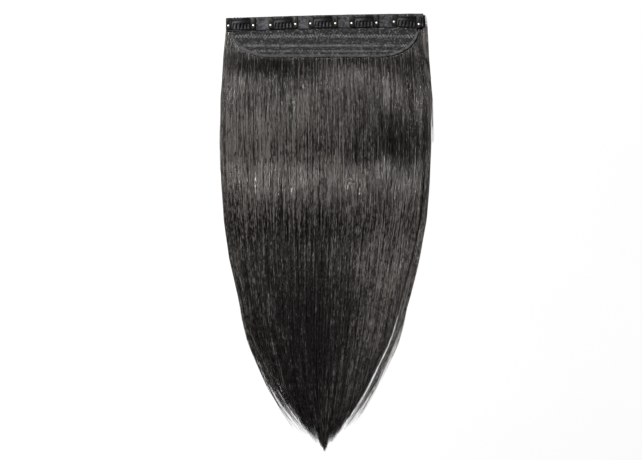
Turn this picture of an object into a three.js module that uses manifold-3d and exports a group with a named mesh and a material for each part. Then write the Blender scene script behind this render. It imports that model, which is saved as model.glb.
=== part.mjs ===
// A one-piece clip-in hair extension, lying on its outer side with the clips upwards.
// Straight hair hangs from a sewn head. A D-shaped net panel covers the roots, a folded tape
// runs along the top of the panel, and five snap clips are sewn to the tape.
// Millimetres. X runs across the hair, +Y towards the clips and +Z up from the table.
import * as THREE from "three";
import { mergeVertices } from "three/addons/utils/BufferGeometryUtils.js";
import Module from "manifold-3d";

const wasm = await Module();
wasm.setup();

// The tape along the top. Its upper edge climbs from left to right and bows a little.
const tape = { width: 254, height: 17, thickness: 1.4, climb: 6, bow: 1, crown: 0.4 };

// The base panel under the tape, with a quarter ellipse at each lower corner.
const panel = { depth: 34, inset: 6, thickness: 1.2, cornerAcross: 45, tuck: 1.5 };
const binding = { width: 3, thickness: 1.7 };

const hair = {
  length: 560, // from the tape's upper edge to the tip
  spread: 10, // how far the hair swells past each end of the tape
  rootThickness: 3, // at the sewn head, under the tape
  thickness: 7.5, // just below the panel
  edgeThickness: 0.6, // at the hair's two sides
  rootInset: 1.5, // from the tape's upper edge to the sewn head
};

// Soft waves along the hair. crest and reach are distances from the tape's upper edge.
const wave = { height: 1.6, length: 112, crest: 238, reach: 122 };

// Locks lie side by side and are fused along their length. Each has an end of its own.
const locks = { count: 18, valleyShare: 0.8, notch: 9, sideShortening: 22 };
const lockTrims = [0, 5, 2, 7, 3]; // uneven lock ends, repeated across the hair

// Outline and fullness of the hair from the tape's upper edge (0) to the tip (1). left and
// right are shares of the widest half, and thick is a share of the hair's thickness.
const hairOutline = [
  { along: 0.0, left: 0.92, right: 0.94, thick: 1.0 },
  { along: 0.09, left: 0.955, right: 0.955, thick: 1.0 },
  { along: 0.19, left: 0.98, right: 0.99, thick: 1.04 },
  { along: 0.29, left: 0.985, right: 1.0, thick: 1.0 },
  { along: 0.38, left: 0.975, right: 0.99, thick: 0.98 },
  { along: 0.47, left: 0.947, right: 0.958, thick: 0.93 },
  { along: 0.56, left: 0.895, right: 0.885, thick: 0.86 },
  { along: 0.65, left: 0.81, right: 0.785, thick: 0.78 },
  { along: 0.7, left: 0.77, right: 0.725, thick: 0.73 },
  { along: 0.75, left: 0.7, right: 0.655, thick: 0.67 },
  { along: 0.8, left: 0.6, right: 0.55, thick: 0.6 },
  { along: 0.86, left: 0.49, right: 0.44, thick: 0.52 },
  { along: 0.91, left: 0.355, right: 0.31, thick: 0.44 },
  { along: 0.955, left: 0.205, right: 0.165, thick: 0.36 },
  { along: 1.0, left: 0.035, right: 0.01, thick: 0.25 },
];

// A snap clip. Two end plates, a back strip and a front bar make its frame, and a sprung
// comb reaches from the back strip over the bar.
const clip = {
  length: 38,
  height: 15.5,
  above: 10, // from the rivets to the back edge
  sheet: 0.6,
  rivetSpacing: 32,
  plateWidth: 6.6,
  cornerRadius: 2,
  backWidth: 3,
  backArch: 1.8,
  barWidth: 1.8,
  barArch: 0.7,
  dropFromTape: 11, // from the tape's upper edge to the rivets
  endMargin: 1, // from the tape's end to the first clip
};
const comb = { teeth: 6, toothWidth: 2, tipWidth: 1, railWidth: 4.2, bulge: 0.5, tipInset: 0.7 };
const sewingHoles = { radius: 0.6, pitch: 4, eachSide: 2, slotWidth: 1.2, slotLength: 1.6 };
const rivet = { headRadius: 1.6, shankRadius: 0.9, headHeight: 0.9 };
const roundSides = 10; // sides of a rivet and of its bore
const holeSides = 6; // sides of a sewing hole

// How each clip lies: its shift along the tape, its shift down, and its turn in degrees.
const clipLay = [
  { nudge: -0.6, drop: -0.7, turn: 0.7 },
  { nudge: 0.1, drop: 0, turn: 2.3 },
  { nudge: -2.1, drop: -0.1, turn: 0.5 },
  { nudge: -2.6, drop: 0.4, turn: 0.9 },
  { nudge: -1.7, drop: 1.1, turn: -5.5 },
];

// Clearances between neighbouring pieces, and between the hair and the cloth on it.
const gap = 0.3;
const layerGap = 0.5;

const halfTape = tape.width / 2;
const widestHalf = halfTape + hair.spread;
const halfPanel = halfTape - panel.inset;
const panelLow = hair.rootThickness + layerGap;
const tapeLow = panelLow + panel.thickness + gap;
const clipLow = tapeLow + tape.thickness + gap;
const riseStart = tape.height + tape.climb / 2 + 2;
const riseEnd = tape.height + panel.depth;

const colours = {
  hair: new THREE.MeshStandardMaterial({ color: 0x1b1a1a, roughness: 0.45, metalness: 0 }),
  net: new THREE.MeshStandardMaterial({ color: 0x3a3a3d, roughness: 0.9, metalness: 0 }),
  cloth: new THREE.MeshStandardMaterial({ color: 0x4a4a50, roughness: 0.85, metalness: 0 }),
  paint: new THREE.MeshStandardMaterial({ color: 0x1a1818, roughness: 0.35, metalness: 0.6 }),
  rivet: new THREE.MeshStandardMaterial({ color: 0xc9c5bc, roughness: 0.3, metalness: 1 }),
};

const mix = THREE.MathUtils.lerp;
const radians = THREE.MathUtils.degToRad;

function solidOf(geometry) {
  const bare = geometry.clone();
  bare.deleteAttribute("normal");
  bare.deleteAttribute("uv");
  const merged = mergeVertices(bare, 1e-4);
  const mesh = new wasm.Mesh({
    numProp: 3,
    vertProperties: merged.attributes.position.array,
    triVerts: new Uint32Array(merged.index.array),
  });
  return new wasm.Manifold(mesh);
}

function geometryOf(solid) {
  const mesh = solid.getMesh();
  const geometry = new THREE.BufferGeometry();
  geometry.setAttribute("position", new THREE.BufferAttribute(mesh.vertProperties, 3));
  geometry.setIndex(new THREE.BufferAttribute(mesh.triVerts, 1));
  return geometry;
}

// A closed solid over a grid. Columns run towards +X and stations towards -Y, and
// pointAt(column, station) gives x, y and the low and high z there.
function slab(columns, stations, pointAt) {
  const positions = [];
  for (const level of ["low", "high"])
    for (let s = 0; s <= stations; s++)
      for (let c = 0; c <= columns; c++) {
        const point = pointAt(c, s);
        positions.push(point.x, point.y, point[level]);
      }
  const layer = (columns + 1) * (stations + 1);
  const low = (c, s) => s * (columns + 1) + c;
  const high = (c, s) => layer + low(c, s);
  const faces = [];
  const quad = (a, b, c, d) => faces.push(a, b, c, a, c, d);
  for (let s = 0; s < stations; s++)
    for (let c = 0; c < columns; c++) {
      quad(high(c, s), high(c, s + 1), high(c + 1, s + 1), high(c + 1, s));
      quad(low(c, s), low(c + 1, s), low(c + 1, s + 1), low(c, s + 1));
    }
  for (let c = 0; c < columns; c++) {
    quad(low(c, 0), high(c, 0), high(c + 1, 0), low(c + 1, 0));
    quad(low(c + 1, stations), high(c + 1, stations), high(c, stations), low(c, stations));
  }
  for (let s = 0; s < stations; s++) {
    quad(low(0, s + 1), high(0, s + 1), high(0, s), low(0, s));
    quad(low(columns, s), high(columns, s), high(columns, s + 1), low(columns, s + 1));
  }
  const geometry = new THREE.BufferGeometry();
  geometry.setAttribute("position", new THREE.Float32BufferAttribute(positions, 3));
  geometry.setIndex(faces);
  return geometry;
}

function piece(name, geometry, material) {
  const mesh = new THREE.Mesh(geometry, material);
  mesh.name = name;
  return mesh;
}

// The y of the tape's upper edge, at a distance across from its middle.
function tapeEdge(x) {
  const share = x / halfTape;
  return (tape.climb / 2) * share + tape.bow * (1 - share * share);
}

function outlineAt(along) {
  let i = 1;
  while (i < hairOutline.length - 1 && hairOutline[i].along < along) i++;
  const a = hairOutline[i - 1];
  const b = hairOutline[i];
  const share = (along - a.along) / (b.along - a.along);
  return {
    left: mix(a.left, b.left, share) * widestHalf,
    right: mix(a.right, b.right, share) * widestHalf,
    thick: mix(a.thick, b.thick, share) * hair.thickness,
  };
}

// Height of the hair's upper side. It is thin under the tape, rises under the panel and
// then carries the waves.
function hairHeight(down) {
  const fade = Math.exp(-(((down - wave.crest) / wave.reach) ** 2));
  const ripple = wave.height * fade * Math.cos((2 * Math.PI * (down - wave.crest)) / wave.length);
  const full = outlineAt(down / hair.length).thick + ripple;
  return mix(hair.rootThickness, full, THREE.MathUtils.smoothstep(down, riseStart, riseEnd));
}

// All the hair: a ridge for each lock, a valley between two locks, and an uneven lower end.
function hairBody() {
  const columns = 2 * locks.count;
  const rootStations = 9;
  const lengthStations = 21;
  const climbEnd = 0.1; // the share of the length at which the tape's climb has died out
  const geometry = slab(columns, rootStations + lengthStations, (c, s) => {
    const across = (2 * c) / columns - 1;
    const valley = c % 2 === 0;
    const lock = Math.floor(c / 2);
    const trim = lockTrims[lock % lockTrims.length] + (valley ? locks.notch : 0);
    const end = hair.length - trim - locks.sideShortening * Math.abs(across) ** 1.5;
    const below =
      s <= rootStations
        ? mix(hair.rootInset, riseEnd, s / rootStations)
        : mix(riseEnd, end, (s - rootStations) / lengthStations);
    const along = below / hair.length;
    const outline = outlineAt(along);
    const x = (outline.right - outline.left) / 2 + (across * (outline.right + outline.left)) / 2;
    const y = tapeEdge(x) * Math.max(0, 1 - along / climbEnd) - below;
    const side = Math.sqrt(1 - across ** 8);
    const high = hairHeight(-y) * side * (valley ? locks.valleyShare : 1);
    return { x, y, low: 0, high: Math.max(hair.edgeThickness, high) };
  });
  return piece("hair", geometry, colours.hair);
}

// A point of the panel's edge at an angle, from 0 at its side to 90 degrees at its lower edge.
function panelEdge(angle, outset) {
  return {
    x: halfPanel - panel.cornerAcross * (1 - Math.cos(angle)) + outset * Math.cos(angle),
    y: -tape.height - (panel.depth + outset) * Math.sin(angle),
  };
}

function basePanel() {
  const columns = 24;
  const cornerSteps = 8;
  const rim = -binding.width - gap;
  const geometry = slab(columns, cornerSteps + 1, (c, s) => {
    const angle = radians((Math.max(0, s - 1) * 90) / cornerSteps);
    const edge = panelEdge(angle, rim);
    const x = ((2 * c) / columns - 1) * edge.x;
    const y = s === 0 ? tapeEdge(x) - panel.tuck : edge.y;
    const low = hairHeight(-y) + layerGap;
    return { x, y, low, high: low + panel.thickness };
  });
  return piece("base_panel", geometry, colours.net);
}

// The bound edge of the panel: down one side, along the bottom and up the other side. It
// starts just below the tape's lower edge, where that edge is lowest.
function panelBinding() {
  const cornerSteps = 8;
  const straightSteps = 6;
  const across = 4;
  const columns = 2 * cornerSteps + straightSteps;
  const startDown = tape.climb / 2 + gap;
  const startAngle = Math.asin(startDown / (panel.depth - binding.width));
  const geometry = slab(columns, across, (c, s) => {
    const fromEnd = Math.min(c, columns - c);
    const angle = mix(startAngle, Math.PI / 2, Math.min(1, fromEnd / cornerSteps));
    const edge = panelEdge(angle, -binding.width * (1 - s / across));
    const straight = Math.max(0, fromEnd - cornerSteps) / (straightSteps / 2);
    const mirror = c < columns / 2 ? -1 : 1;
    const roundness = Math.sin((Math.PI * (s + 0.6)) / (across + 1.2));
    const centre = hairHeight(-edge.y) + layerGap + panel.thickness / 2;
    const swell = (binding.thickness / 2) * roundness;
    return { x: mirror * edge.x * (1 - straight), y: edge.y, low: centre - swell, high: centre + swell };
  });
  return piece("panel_binding", geometry, colours.cloth);
}

function topTape() {
  const columns = 24;
  const stations = 4;
  const geometry = slab(columns, stations, (c, s) => {
    const x = ((2 * c) / columns - 1) * halfTape;
    const y = tapeEdge(x) - (tape.height * s) / stations;
    const rounding = tape.crown * ((2 * s) / stations - 1) ** 2;
    return { x, y, low: tapeLow, high: tapeLow + tape.thickness - rounding };
  });
  return piece("top_tape", geometry, colours.cloth);
}

// A flat plate over an outline, from a height upwards.
function plate(shape, from, thickness) {
  const geometry = new THREE.ExtrudeGeometry(shape, {
    depth: thickness,
    bevelEnabled: false,
    curveSegments: 4,
  });
  return solidOf(geometry.translate(0, 0, from));
}

// An upright round cutter that passes through everything on a clip.
function roundCutter(radius, sides, x, y) {
  const cutter = new THREE.CylinderGeometry(radius, radius, cutterHeight, sides);
  return solidOf(cutter.rotateX(Math.PI / 2).translate(x, y, 0));
}

const plateInner = clip.length / 2 - clip.plateWidth;
const plateTop = 2 * clip.sheet;
const clipFront = clip.above - clip.height;
const combBack = clip.above - clip.backWidth - gap;
const combTip = clipFront + comb.tipInset;
const cutterHeight = 4 * (clip.backArch + comb.bulge + plateTop);
const arc = (x) => Math.max(0, 1 - (x / plateInner) ** 2);

// One end plate of a clip, with a bore for its rivet.
function endPlate(side) {
  const r = clip.cornerRadius;
  const outer = (side * clip.length) / 2;
  const inner = side * plateInner;
  const shape = new THREE.Shape();
  shape.moveTo(inner, clipFront);
  shape.lineTo(outer - side * r, clipFront);
  shape.quadraticCurveTo(outer, clipFront, outer, clipFront + r);
  shape.lineTo(outer, clip.above - r);
  shape.quadraticCurveTo(outer, clip.above, outer - side * r, clip.above);
  shape.lineTo(inner, clip.above);
  shape.closePath();
  const bore = roundCutter(rivet.shankRadius + gap, roundSides, (side * clip.rivetSpacing) / 2, 0);
  return plate(shape, 0, plateTop).subtract(bore);
}

// A strip from one end plate to the other, arched upwards in the middle.
function archedStrip(front, width, arch) {
  const columns = 8;
  const reach = plateInner + clip.plateWidth / 4;
  const geometry = slab(columns, 1, (c, s) => {
    const x = ((2 * c) / columns - 1) * reach;
    const low = arch * arc(x);
    return { x, y: s === 0 ? front + width : front, low, high: low + clip.sheet };
  });
  return solidOf(geometry);
}

// The back strip, with sewing holes and a slot in its back edge.
function backStrip() {
  let strip = archedStrip(clip.above - clip.backWidth, clip.backWidth, clip.backArch);
  for (let i = 1; i <= sewingHoles.eachSide; i++)
    for (const side of [-1, 1]) {
      const x = side * i * sewingHoles.pitch;
      strip = strip.subtract(roundCutter(sewingHoles.radius, holeSides, x, clip.above - clip.backWidth / 2));
    }
  const slot = new THREE.BoxGeometry(sewingHoles.slotWidth, 2 * sewingHoles.slotLength, cutterHeight);
  return strip.subtract(solidOf(slot.translate(0, clip.above, 0)));
}

function clipFrame(name) {
  const bar = archedStrip(clipFront, clip.barWidth, clip.barArch);
  const frame = endPlate(-1).add(endPlate(1)).add(bar).add(backStrip());
  return piece(name, geometryOf(frame), colours.paint);
}

// The comb: a rail along the back strip and teeth that reach over the bar. Slots that widen
// towards the tips part the teeth.
function clipComb(name) {
  const columns = 10;
  const stations = 4;
  const reach = plateInner - gap;
  const sheet = slab(columns, stations, (c, s) => {
    const x = ((2 * c) / columns - 1) * reach;
    const share = s / stations;
    const overBar = clip.sheet + gap + clip.barArch * arc(x);
    const low = mix(clip.backArch * arc(x), overBar, share ** 2) + comb.bulge * Math.sin(Math.PI * share);
    return { x, y: mix(combBack, combTip, share), low, high: low + clip.sheet };
  });
  let body = solidOf(sheet);
  const pitch = (2 * reach - comb.toothWidth) / (comb.teeth - 1);
  const root = (pitch - comb.toothWidth) / 2;
  const tip = (pitch - comb.tipWidth) / 2;
  const rootLine = combBack - comb.railWidth;
  for (let i = 1; i < comb.teeth; i++) {
    const x = -reach + comb.toothWidth / 2 + (i - 0.5) * pitch;
    const slot = new THREE.Shape();
    slot.moveTo(x - root, rootLine);
    slot.lineTo(x - tip, combTip - gap);
    slot.lineTo(x + tip, combTip - gap);
    slot.lineTo(x + root, rootLine);
    slot.closePath();
    body = body.subtract(plate(slot, -cutterHeight / 2, cutterHeight));
  }
  return piece(name, geometryOf(body), colours.paint);
}

// A rivet with a domed head, standing in the bore of its end plate.
function clipRivet(name, x) {
  const seat = plateTop + gap;
  const profile = [
    new THREE.Vector2(0, 0),
    new THREE.Vector2(rivet.shankRadius, 0),
    new THREE.Vector2(rivet.shankRadius, seat),
    new THREE.Vector2(rivet.headRadius, seat),
    new THREE.Vector2(rivet.headRadius * 0.8, seat + rivet.headHeight * 0.7),
    new THREE.Vector2(0, seat + rivet.headHeight),
  ];
  const geometry = new THREE.LatheGeometry(profile, roundSides);
  const mesh = piece(name, geometry.rotateX(Math.PI / 2), colours.rivet);
  mesh.position.x = x;
  return mesh;
}

// One clip on the tape. Its own origin is midway between its rivets.
function snapClip(lay, i) {
  const group = new THREE.Group();
  const pitch = (tape.width - clip.length - 2 * clip.endMargin) / (clipLay.length - 1);
  const x = (i - (clipLay.length - 1) / 2) * pitch + lay.nudge;
  const name = `clip_${i + 1}`;
  group.add(clipFrame(`${name}_frame`), clipComb(`${name}_comb`));
  group.add(clipRivet(`${name}_rivet_left`, -clip.rivetSpacing / 2));
  group.add(clipRivet(`${name}_rivet_right`, clip.rivetSpacing / 2));
  group.position.set(x, tapeEdge(x) - clip.dropFromTape - lay.drop, clipLow);
  group.rotation.z = radians(lay.turn);
  return group;
}

const extension = new THREE.Group();
extension.add(hairBody(), basePanel(), panelBinding(), topTape(), ...clipLay.map(snapClip));

// The origin is on the table, under the middle of the extension's footprint.
const footprint = new THREE.Box3().setFromObject(extension);
const middle = footprint.getCenter(new THREE.Vector3());
extension.position.set(-middle.x, -middle.y, 0);

export default extension;
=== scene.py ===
import math
import bmesh
import bpy
import numpy as np
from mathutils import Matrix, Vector


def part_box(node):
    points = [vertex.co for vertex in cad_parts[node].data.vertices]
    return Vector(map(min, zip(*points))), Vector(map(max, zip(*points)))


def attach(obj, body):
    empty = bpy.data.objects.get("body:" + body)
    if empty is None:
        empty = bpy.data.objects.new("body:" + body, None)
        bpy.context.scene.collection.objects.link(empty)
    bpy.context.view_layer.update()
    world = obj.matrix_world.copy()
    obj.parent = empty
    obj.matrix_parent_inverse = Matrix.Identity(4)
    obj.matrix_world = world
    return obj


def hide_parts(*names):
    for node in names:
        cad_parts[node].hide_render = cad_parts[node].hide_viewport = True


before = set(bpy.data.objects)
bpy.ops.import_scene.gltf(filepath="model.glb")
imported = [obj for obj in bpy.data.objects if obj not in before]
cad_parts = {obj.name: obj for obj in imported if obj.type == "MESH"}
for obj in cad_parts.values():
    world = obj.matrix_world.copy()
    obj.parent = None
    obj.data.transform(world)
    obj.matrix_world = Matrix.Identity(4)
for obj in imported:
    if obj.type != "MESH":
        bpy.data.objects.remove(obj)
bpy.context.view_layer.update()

# Lengths in the plans below are millimetres on the extension's own plan. across runs to the right
# from the middle of the tape, down runs from the tape's upper edge towards the tip, up is the height.
tapePlan = {
    "width": 254, "height": 17, "climb": 6, "bow": 1,  # the upper edge climbs to the right and bows
    "low": 5.0, "thickness": 1.4, "crown": 0.4, "sink": 0.1, "stations": 260, "profile": 30,
    "seam": (9.4, 0.45, 0.32), "fold": (13, 2.2, 0.10),  # distance down, half width, depth or height
    "ruffles": ((26, 0.12), (5, 0.05)), "swell": (9, 0.05),  # length and height of the waves
    "stitchRows": (1.5, 15.6), "stitchReach": 125, "stitchPitch": 3.2, "stitchHalf": 1.15,
    "stitchRise": 0.12, "stitchDip": 0.35, "stitchRadius": 0.17,
}
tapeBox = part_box("top_tape")
planX = (tapeBox[0].x + tapeBox[1].x) / 2
planY = tapeBox[1].y - tapePlan["climb"] / 2 / 1000
wholeTurn = 6.283  # radians, for random phases


# A point of the plan in Blender's metres: x is across, y is minus down, z is up.
def place(across, down, up):
    across, down, up = np.broadcast_arrays(across, down, up)
    return np.stack([planX + across / 1000, planY - down / 1000, up / 1000], axis=-1)


# The tape's upper edge: it climbs evenly from left to right and bows by a parabola.
def tapeEdge(across):
    share = across / (tapePlan["width"] / 2)
    return -(tapePlan["climb"] / 2 * share + tapePlan["bow"] * (1 - share**2))


# An S curve from 0 at low to 1 at high: three times the square less twice the cube of the share.
def smoothStep(value, low, high):
    share = np.clip((value - low) / (high - low), 0, 1)
    return share * share * (3 - 2 * share)


# A bell curve: e to the power of minus the square of the value.
def bell(value):
    return np.exp(-(value**2))


# Smooth noise along a line, about -1 to 1: a sum of sines with random phases, whose wave lengths
# are 0.6 to 1.7 times the given one, over the square root of their number.
def softNoise(rng, value, length, waves=5):
    total = np.zeros_like(value, dtype=float)
    for k in range(waves):
        waveLength = length * rng.uniform(0.6, 1.7)
        total += np.sin(2 * math.pi * value / waveLength + rng.uniform(0, wholeTurn))
    return total / math.sqrt(waves)


# A new object of the scene for a mesh, a light or a camera.
def addObject(name, data):
    item = bpy.data.objects.new(name, data)
    bpy.context.scene.collection.objects.link(item)
    return item


# One mesh from points and arrays of faces with equal numbers of corners. The first set of faces
# is smooth and the others, which close the ends, are flat.
def makePiece(name, points, faceSets, material, shade=None, uv=None):
    mesh = bpy.data.meshes.new(name)
    corners = np.concatenate([faces.ravel() for faces in faceSets]).astype(np.int32)
    sizes = np.concatenate([np.full(len(faces), faces.shape[1]) for faces in faceSets])
    starts = np.concatenate([[0], np.cumsum(sizes)[:-1]]).astype(np.int32)
    mesh.vertices.add(len(points))
    mesh.vertices.foreach_set("co", np.asarray(points, np.float32).ravel())
    mesh.loops.add(len(corners))
    mesh.loops.foreach_set("vertex_index", corners)
    mesh.polygons.add(len(sizes))
    mesh.polygons.foreach_set("loop_start", starts)
    mesh.update(calc_edges=True)
    mesh.polygons.foreach_set("use_smooth", np.arange(len(sizes)) < len(faceSets[0]))
    if shade is not None:
        shades = mesh.attributes.new("shade", "FLOAT", "POINT")
        shades.data.foreach_set("value", np.asarray(shade, np.float32))
    if uv is not None:
        layer = mesh.uv_layers.new(name="cloth")
        layer.data.foreach_set("uv", np.asarray(uv, np.float32)[corners].ravel())
    mesh.materials.append(material)
    mesh.validate()
    return addObject(name, mesh)


# Says which body carries a piece and which CAD node it stands for, and hides that node.
def settle(piece, body="extension", node=None):
    if node is not None:
        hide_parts(node)
    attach(piece, body)


# Quads over rows of points with the same number of columns, joined back to the first column
# where wrap is set.
def gridFaces(rows, columns, wrap=False):
    r = np.arange(rows - 1)[:, None]
    c = np.arange(columns if wrap else columns - 1)[None, :]
    n = (c + 1) % columns
    r, c, n = np.broadcast_arrays(r, c, n)
    corners = [r * columns + c, r * columns + n, (r + 1) * columns + n, (r + 1) * columns + c]
    return np.stack(corners, -1).reshape(-1, 4)


# Many tubes at once. paths is tubes by rings by xyz, radius is tubes by rings. Each ring is a
# regular polygon square to the path, from the path's tangent and a level side vector.
def tubes(paths, radius, sides, twist=None):
    tiny, steep = 1e-12, 0.95
    count, rings, _ = paths.shape
    tangent = np.gradient(paths, axis=1)
    tangent /= np.maximum(np.linalg.norm(tangent, axis=-1, keepdims=True), tiny)
    upward = np.zeros_like(tangent)
    upward[..., 2] = 1
    upward[np.abs(tangent[..., 2]) > steep] = (1, 0, 0)
    side = np.cross(tangent, upward)
    side /= np.maximum(np.linalg.norm(side, axis=-1, keepdims=True), tiny)
    lift = np.cross(side, tangent)
    angle = np.arange(sides) * 2 * math.pi / sides
    angle = angle[None, None, :, None] + (0 if twist is None else twist[:, None, None, None])
    ring = side[:, :, None] * np.cos(angle) + lift[:, :, None] * np.sin(angle)
    points = paths[:, :, None] + ring * radius[:, :, None, None]
    base = (np.arange(count) * rings * sides)[:, None, None]
    walls = (base + gridFaces(rings, sides, wrap=True)[None]).reshape(-1, 4)[:, ::-1]
    cap = np.arange(sides)[None, :]
    start = base[:, 0] + cap
    end = base[:, 0] + (rings - 1) * sides + cap[:, ::-1]
    return points.reshape(-1, 3), walls, np.concatenate([start, end])


# One piece of threads: tubes with the same radius in millimetres all along their paths.
def threadPiece(name, paths, radius, sides, material):
    points, walls, caps = tubes(paths, np.full(paths.shape[:2], radius / 1000), sides)
    return makePiece(name, points, [walls, caps], material)


# A new material with its node tree and its shader.
def newMaterial(name, roughness, metallic=0.0, ior=1.5):
    material = bpy.data.materials.new(name)
    material.use_nodes = True
    shader = material.node_tree.nodes["Principled BSDF"]
    shader.inputs["Roughness"].default_value = roughness
    shader.inputs["Metallic"].default_value = metallic
    shader.inputs["IOR"].default_value = ior
    return material, material.node_tree, shader


# Turns a value into a colour that runs evenly from one stop to the next, and feeds it to a socket.
def ramp(tree, value, stops, socket):
    node = tree.nodes.new("ShaderNodeValToRGB")
    while len(node.color_ramp.elements) < len(stops):
        node.color_ramp.elements.new(0.5)
    for element, (position, colour) in zip(node.color_ramp.elements, stops):
        element.position = position
        element.color = (*colour, 1)
    tree.links.new(value, node.inputs["Fac"])
    tree.links.new(node.outputs["Color"], socket)


# Texture coordinates through a Mapping node, multiplied along each axis.
def mapped(tree, source, scale=(1, 1, 1)):
    coordinates = tree.nodes.new("ShaderNodeTexCoord")
    mapping = tree.nodes.new("ShaderNodeMapping")
    mapping.inputs["Scale"].default_value = scale
    tree.links.new(coordinates.outputs[source], mapping.inputs["Vector"])
    return mapping.outputs["Vector"]


# Noise from 0 to 1 with scale grains to a unit and detail finer layers.
def noise(tree, vector, scale=1.0, detail=2.0):
    node = tree.nodes.new("ShaderNodeTexNoise")
    node.inputs["Scale"].default_value = scale
    node.inputs["Detail"].default_value = detail
    tree.links.new(vector, node.inputs["Vector"])
    return node.outputs["Fac"]


# A Math node whose inputs are sockets or plain numbers.
def mathNode(tree, operation, *values):
    node = tree.nodes.new("ShaderNodeMath")
    node.operation = operation
    for socket, value in zip(node.inputs, values):
        if isinstance(value, (int, float)):
            socket.default_value = value
        else:
            tree.links.new(value, socket)
    return node.outputs[0]


# The value times a factor, plus an offset.
def scaled(tree, value, factor, offset):
    return mathNode(tree, "MULTIPLY_ADD", value, factor, offset)


# Tilts the surface by the slope of a height that is distance metres at its fullest.
def bump(tree, shader, height, strength, distance):
    node = tree.nodes.new("ShaderNodeBump")
    node.inputs["Strength"].default_value = strength
    node.inputs["Distance"].default_value = distance
    tree.links.new(height, node.inputs["Height"])
    tree.links.new(node.outputs["Normal"], shader.inputs["Normal"])


# Bands of a Wave texture that repeat every pitch millimetres along one axis of the cloth. Blender
# repeats them every tenth of pi over the scale.
def bands(tree, vector, axis, pitch, distortion, phase=0.0):
    wave = tree.nodes.new("ShaderNodeTexWave")
    wave.bands_direction = axis
    wave.inputs["Scale"].default_value = 2 * math.pi / 20 / (pitch / 1000)
    wave.inputs["Distortion"].default_value = distortion
    wave.inputs["Phase Offset"].default_value = phase
    wave.inputs["Detail"].default_value = 1.0
    tree.links.new(vector, wave.inputs["Vector"])
    return wave.outputs["Fac"]


hairLooks = {
    "colours": [(0.0, (0.003, 0.003, 0.003)), (0.3, (0.0098, 0.0092, 0.0092)),  # from the roots'
                (0.65, (0.040, 0.037, 0.035)), (1.0, (0.175, 0.160, 0.148))],  # shade to the light
    "fleck": (760, 110, 1), "grain": (1200, 240, 1), "streak": (300, 14, 1),  # a metre, across and down
    "grainShare": 0.5, "streakShare": 1.35, "contrast": 2.2, "offset": -2.32,
    "rough": (0.35, 0.25), "smooth": (0.65, 0.18), "ior": 1.6,  # where in the flecks, roughness
    "glossTint": (1.0, 0.95, 0.91, 1.0), "fleckDepth": 0.0004,
}


# Hair: each strand's shade through a ramp, broken into flecks by noise that is stretched along the strands,
# whose UV map runs across and down the hair. The shade holds the hair's own tone and also painted highlights
# and painted shade. The same flecks change the gloss and tilt the surface a little.
def hairMaterial():
    look = hairLooks
    material, tree, shader = newMaterial("blackHair", look["rough"][1], ior=look["ior"])
    shader.inputs["Specular Tint"].default_value = look["glossTint"]
    shade = tree.nodes.new("ShaderNodeAttribute")
    shade.attribute_name = "shade"
    flecks = noise(tree, mapped(tree, "UV", look["fleck"]))
    grain = noise(tree, mapped(tree, "UV", look["grain"]))
    streaks = noise(tree, mapped(tree, "UV", look["streak"]))
    both = scaled(tree, grain, look["grainShare"], flecks)
    spread = scaled(tree, both, look["contrast"], look["offset"])
    streaky = scaled(tree, streaks, look["streakShare"], spread)
    mixed = mathNode(tree, "ADD", streaky, shade.outputs["Fac"])
    ramp(tree, mixed, look["colours"], shader.inputs["Base Color"])
    gloss = [(position, (value,) * 3) for position, value in (look["rough"], look["smooth"])]
    ramp(tree, flecks, gloss, shader.inputs["Roughness"])
    bump(tree, shader, both, 1.0, look["fleckDepth"])
    return material


netLooks = {
    "colours": [(0.0, (0.005, 0.005, 0.005)), (0.5, (0.027, 0.0256, 0.027)),  # hole, thread,
                (1.0, (0.155, 0.149, 0.155))],  # bright fleck
    "pitch": 0.85, "tallness": 1.2, "crooked": 0.8, "threadShare": 0.40, "lift": 0.22,
    # rows is the pitch of bands that paint light over the sewn wefts and shade between them.
    "rows": 12.2, "rowPhase": 2.11, "rowCrooked": 1.5, "paintedRowShare": 0.16,
    "fleck": (420, 760, 420), "dash": (140, 600, 140), "dashShare": 0.32,
    "contrast": 5.6, "offset": -4.12, "roughness": 0.8, "sheen": 0.1, "relief": (0.7, 0.0003),
}


# Net cloth: two crossed sets of threads with holes between them that show dark hair, uneven flecks along the
# rows, and bands of painted light over the sewn wefts with painted shade between them.
def netMaterial():
    look = netLooks
    material, tree, shader = newMaterial("nettedCloth", look["roughness"])
    vector = mapped(tree, "UV")
    warp = bands(tree, vector, "X", look["pitch"], look["crooked"])
    weft = bands(tree, vector, "Y", look["pitch"] * look["tallness"], look["crooked"])
    threads = mathNode(tree, "MAXIMUM", warp, weft)
    flecks = noise(tree, mapped(tree, "Object", look["fleck"]), detail=4.0)
    # Painted light over the sewn wefts and painted shade between them.
    rows = bands(tree, vector, "Y", look["rows"], look["rowCrooked"], look["rowPhase"])
    dashes = noise(tree, mapped(tree, "Object", look["dash"]))
    uneven = scaled(tree, dashes, look["dashShare"], flecks)
    spread = scaled(tree, uneven, look["contrast"], look["offset"])
    paintedRows = scaled(tree, rows, look["paintedRowShare"], spread)
    level = mathNode(tree, "ADD", scaled(tree, threads, look["threadShare"], paintedRows), look["lift"])
    ramp(tree, level, look["colours"], shader.inputs["Base Color"])
    shader.inputs["Sheen Weight"].default_value = look["sheen"]
    bump(tree, shader, mathNode(tree, "ADD", threads, flecks), *look["relief"])
    return material


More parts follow.
